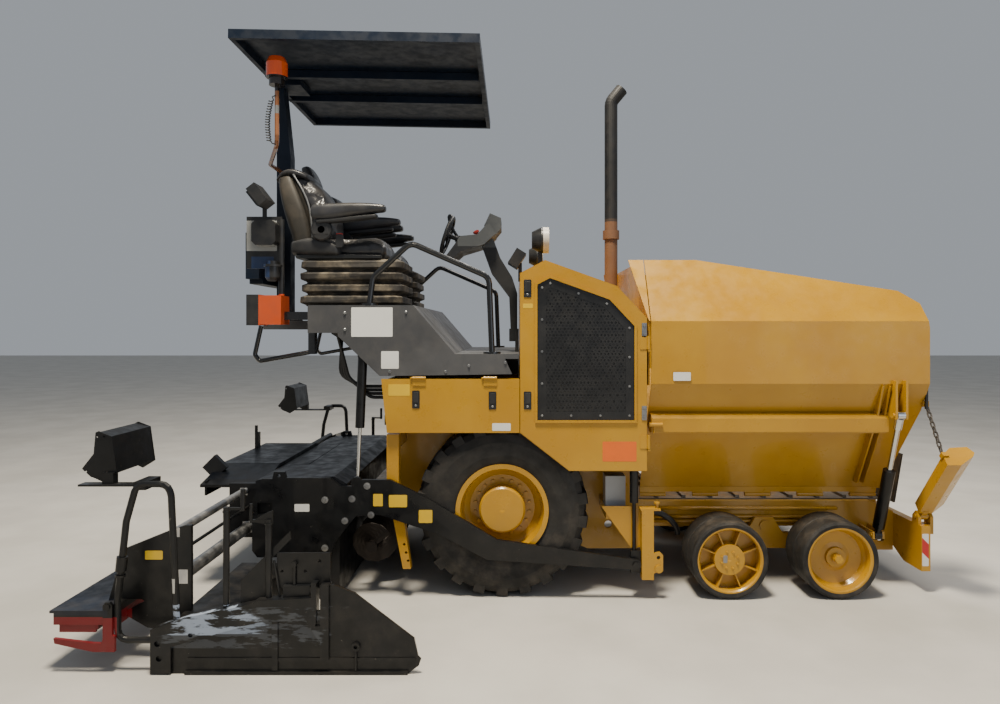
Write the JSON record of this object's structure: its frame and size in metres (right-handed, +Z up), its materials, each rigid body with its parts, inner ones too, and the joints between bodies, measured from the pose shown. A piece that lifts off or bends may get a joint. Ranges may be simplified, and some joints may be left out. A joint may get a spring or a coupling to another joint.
{
  "type": "asphalt paver",
  "caption": "Compact wheeled asphalt paver with folding hopper, steered bogie wheels, operator's deck under a canopy and a tamping screed that widens on both sides.",
  "frame": {"origin": "centre of the machine's footprint on the ground", "axes": "+X forward, +Z up, the right side at -Y"},
  "size_m": [4.96, 3.56, 3.444],
  "materials": {
    "yellow_paint": "worn satin",
    "tyre_rubber": "dusty",
    "black_rubber": "matt",
    "worn_vinyl": "worn",
    "dark_plastic": "matt",
    "amber_plastic": "clear gloss",
    "grey_iron": "cast",
    "worn_iron": "worn bare",
    "bare_steel": "worn bare",
    "rod_chrome": "polished",
    "rusty_steel": "rusty",
    "black_paint": "worn satin"
  },
  "bodies": {
    "tractor": {"chassis": "yellow_paint", "engine_block": "grey_iron", "engine_hood": "yellow_paint", "hopper_bulkhead": "yellow_paint", "conveyor": "bare_steel", "front_apron": "black_rubber", "platform": "black_paint", "handrails": "black_paint", "seat_bellows": "black_rubber", "seats": "worn_vinyl", "console": "dark_plastic", "canopy_roof": "black_paint", "canopy_mast": "black_paint", "beacon": "amber_plastic", "exhaust_stack": "rusty_steel", "lamps": "dark_plastic", "bumper_beam": "yellow_paint", "bogie_beams": "yellow_paint", "hoses": "black_rubber", "tow_point_gear": "black_paint"},
    "wheel_rear_right": {"tyre_rear_right": "tyre_rubber", "rim_rear_right": "yellow_paint"},
    "knuckle_1_right": {"knuckle_1_right": "yellow_paint"},
    "wheel_1_right": {"tyre_1_right": "tyre_rubber", "rim_1_right": "yellow_paint"},
    "knuckle_2_right": {"knuckle_2_right": "yellow_paint"},
    "wheel_2_right": {"tyre_2_right": "tyre_rubber", "rim_2_right": "yellow_paint"},
    "door_right": {"grille_door_right": "yellow_paint"},
    "panel_right": {"side_panel_right": "yellow_paint"},
    "wing_right": {"hopper_wing_right": "yellow_paint"},
    "wing_barrel_right": {"wing_barrel_right": "black_paint"},
    "wing_rod_right": {"wing_rod_right": "rod_chrome"},
    "flap_right": {"bumper_wing_right": "yellow_paint", "chain_right": "bare_steel"},
    "auger_right": {"auger_right": "worn_iron"},
    "wheel_rear_left": {"tyre_rear_left": "tyre_rubber", "rim_rear_left": "yellow_paint"},
    "knuckle_1_left": {"knuckle_1_left": "yellow_paint"},
    "wheel_1_left": {"tyre_1_left": "tyre_rubber", "rim_1_left": "yellow_paint"},
    "knuckle_2_left": {"knuckle_2_left": "yellow_paint"},
    "wheel_2_left": {"tyre_2_left": "tyre_rubber", "rim_2_left": "yellow_paint"},
    "door_left": {"grille_door_left": "yellow_paint"},
    "panel_left": {"side_panel_left": "yellow_paint"},
    "wing_left": {"hopper_wing_left": "yellow_paint"},
    "wing_barrel_left": {"wing_barrel_left": "black_paint"},
    "wing_rod_left": {"wing_rod_left": "rod_chrome"},
    "flap_left": {"bumper_wing_left": "yellow_paint", "chain_left": "bare_steel"},
    "auger_left": {"auger_left": "worn_iron"},
    "screed": {"tow_arms": "black_paint", "screed_main": "black_paint"},
    "lift_barrel_right": {"lift_barrel_right": "black_paint"},
    "lift_rod_right": {"lift_rod_right": "rod_chrome"},
    "extension_right": {"extension_right": "black_paint"},
    "lift_barrel_left": {"lift_barrel_left": "black_paint"},
    "lift_rod_left": {"lift_rod_left": "rod_chrome"},
    "extension_left": {"extension_left": "black_paint"}
  },
  "joints": [
    {"name": "spin_rear_right", "type": "hinge", "parent": "tractor", "child": "wheel_rear_right", "pos_m": [-0.33, -0.648, 0.53], "axis": [0, 1, 0], "continuous": true},
    {"name": "steer_1_right", "type": "hinge", "parent": "tractor", "child": "knuckle_1_right", "pos_m": [1.057, -0.53, 0.235], "axis": [0, 0, 1], "range_deg": [-15, 15]},
    {"name": "spin_1_right", "type": "hinge", "parent": "knuckle_1_right", "child": "wheel_1_right", "pos_m": [1.057, -0.7165, 0.235], "axis": [0, 1, 0], "continuous": true},
    {"name": "steer_2_right", "type": "hinge", "parent": "tractor", "child": "knuckle_2_right", "pos_m": [1.726, -0.53, 0.235], "axis": [0, 0, 1], "range_deg": [-15, 15]},
    {"name": "spin_2_right", "type": "hinge", "parent": "knuckle_2_right", "child": "wheel_2_right", "pos_m": [1.726, -0.7165, 0.235], "axis": [0, 1, 0], "continuous": true},
    {"name": "door_right_hinge", "type": "hinge", "parent": "tractor", "child": "door_right", "pos_m": [0.556, -0.877, 1.3], "axis": [0, 0, 1], "range_deg": [0, 90]},
    {"name": "panel_right_hinge", "type": "hinge", "parent": "tractor", "child": "panel_right", "pos_m": [-0.615, -0.874, 1.346], "axis": [-1, 0, 0], "range_deg": [0, 75]},
    {"name": "wing_right_fold", "type": "hinge", "parent": "tractor", "child": "wing_right", "pos_m": [1.37, -0.452, 0.548], "axis": [1, 0, 0], "range_deg": [0, 45], "deforming": ["chain_right"]},
    {"name": "wing_barrel_right_tilt", "type": "hinge", "parent": "tractor", "child": "wing_barrel_right", "pos_m": [2.075, -0.6, 0.32], "axis": [1, 0, 0], "range_deg": [0, 40.01]},
    {"name": "wing_rod_right_slide", "type": "slide", "parent": "wing_barrel_right", "child": "wing_rod_right", "axis": [0, -0.3219, 0.9468], "range_m": [-0.1983, 0]},
    {"name": "flap_right_fold", "type": "hinge", "parent": "tractor", "child": "flap_right", "pos_m": [2.317, -0.69, 0.466], "axis": [1, 0, 0], "range_deg": [0, 51.01]},
    {"name": "auger_right_spin", "type": "hinge", "parent": "tractor", "child": "auger_right", "pos_m": [-1.14, -0.4, 0.29], "axis": [0, 1, 0], "continuous": true},
    {"name": "spin_rear_left", "type": "hinge", "parent": "tractor", "child": "wheel_rear_left", "pos_m": [-0.33, 0.648, 0.53], "axis": [0, 1, 0], "continuous": true},
    {"name": "steer_1_left", "type": "hinge", "parent": "tractor", "child": "knuckle_1_left", "pos_m": [1.057, 0.53, 0.235], "axis": [0, 0, 1], "range_deg": [-15, 15]},
    {"name": "spin_1_left", "type": "hinge", "parent": "knuckle_1_left", "child": "wheel_1_left", "pos_m": [1.057, 0.7165, 0.235], "axis": [0, 1, 0], "continuous": true},
    {"name": "steer_2_left", "type": "hinge", "parent": "tractor", "child": "knuckle_2_left", "pos_m": [1.726, 0.53, 0.235], "axis": [0, 0, 1], "range_deg": [-15, 15]},
    {"name": "spin_2_left", "type": "hinge", "parent": "knuckle_2_left", "child": "wheel_2_left", "pos_m": [1.726, 0.7165, 0.235], "axis": [0, 1, 0], "continuous": true},
    {"name": "door_left_hinge", "type": "hinge", "parent": "tractor", "child": "door_left", "pos_m": [0.556, 0.877, 1.3], "axis": [0, 0, -1], "range_deg": [0, 90]},
    {"name": "panel_left_hinge", "type": "hinge", "parent": "tractor", "child": "panel_left", "pos_m": [-0.615, 0.874, 1.346], "axis": [1, 0, 0], "range_deg": [0, 75]},
    {"name": "wing_left_fold", "type": "hinge", "parent": "tractor", "child": "wing_left", "pos_m": [1.37, 0.452, 0.548], "axis": [-1, 0, 0], "range_deg": [0, 45], "deforming": ["chain_left"]},
    {"name": "wing_barrel_left_tilt", "type": "hinge", "parent": "tractor", "child": "wing_barrel_left", "pos_m": [2.075, 0.6, 0.32], "axis": [-1, 0, 0], "range_deg": [0, 40.01]},
    {"name": "wing_rod_left_slide", "type": "slide", "parent": "wing_barrel_left", "child": "wing_rod_left", "axis": [0, 0.3219, 0.9468], "range_m": [-0.1983, 0]},
    {"name": "flap_left_fold", "type": "hinge", "parent": "tractor", "child": "flap_left", "pos_m": [2.317, 0.69, 0.466], "axis": [-1, 0, 0], "range_deg": [0, 51.01]},
    {"name": "auger_left_spin", "type": "hinge", "parent": "tractor", "child": "auger_left", "pos_m": [-1.14, 0.4, 0.29], "axis": [0, 1, 0], "continuous": true},
    {"name": "screed_lift", "type": "hinge", "parent": "tractor", "child": "screed", "pos_m": [0.482, 0, 0.214], "axis": [0, 1, 0], "range_deg": [0, 10]},
    {"name": "lift_barrel_right_tilt", "type": "hinge", "parent": "tractor", "child": "lift_barrel_right", "pos_m": [-1.18, -0.826, 1.48], "axis": [0, 1, 0], "range_deg": [-11.86, 0]},
    {"name": "lift_rod_right_slide", "type": "slide", "parent": "lift_barrel_right", "child": "lift_rod_right", "axis": [-0.0416, 0, -0.9991], "range_m": [-0.2811, 0]},
    {"name": "extension_right_slide", "type": "slide", "parent": "screed", "child": "extension_right", "axis": [0, 1, 0], "range_m": [0, 0.85]},
    {"name": "lift_barrel_left_tilt", "type": "hinge", "parent": "tractor", "child": "lift_barrel_left", "pos_m": [-1.18, 0.826, 1.48], "axis": [0, 1, 0], "range_deg": [-11.86, 0]},
    {"name": "lift_rod_left_slide", "type": "slide", "parent": "lift_barrel_left", "child": "lift_rod_left", "axis": [-0.0416, 0, -0.9991], "range_m": [-0.2811, 0]},
    {"name": "extension_left_slide", "type": "slide", "parent": "screed", "child": "extension_left", "axis": [0, -1, 0], "range_m": [0, 0.85]}
  ],
  "couplings": [
    {"joint": "steer_2_right", "follows": "steer_1_right", "ratio": 1},
    {"joint": "wing_barrel_right_tilt", "follows": "wing_right_fold", "ratio": 0.88887},
    {"joint": "wing_rod_right_slide", "follows": "wing_right_fold", "m_per_rad": -0.25183},
    {"joint": "flap_right_fold", "follows": "wing_right_fold", "ratio": 1.1333},
    {"joint": "steer_1_left", "follows": "steer_1_right", "ratio": 1},
    {"joint": "steer_2_left", "follows": "steer_1_right", "ratio": 1},
    {"joint": "wing_barrel_left_tilt", "follows": "wing_left_fold", "ratio": 0.88887},
    {"joint": "wing_rod_left_slide", "follows": "wing_left_fold", "m_per_rad": -0.25183},
    {"joint": "flap_left_fold", "follows": "wing_left_fold", "ratio": 1.1333},
    {"joint": "lift_barrel_right_tilt", "follows": "screed_lift", "ratio": -1.1846},
    {"joint": "lift_rod_right_slide", "follows": "screed_lift", "m_per_rad": -1.6079},
    {"joint": "lift_barrel_left_tilt", "follows": "screed_lift", "ratio": -1.1846},
    {"joint": "lift_rod_left_slide", "follows": "screed_lift", "m_per_rad": -1.6079}
  ]
}
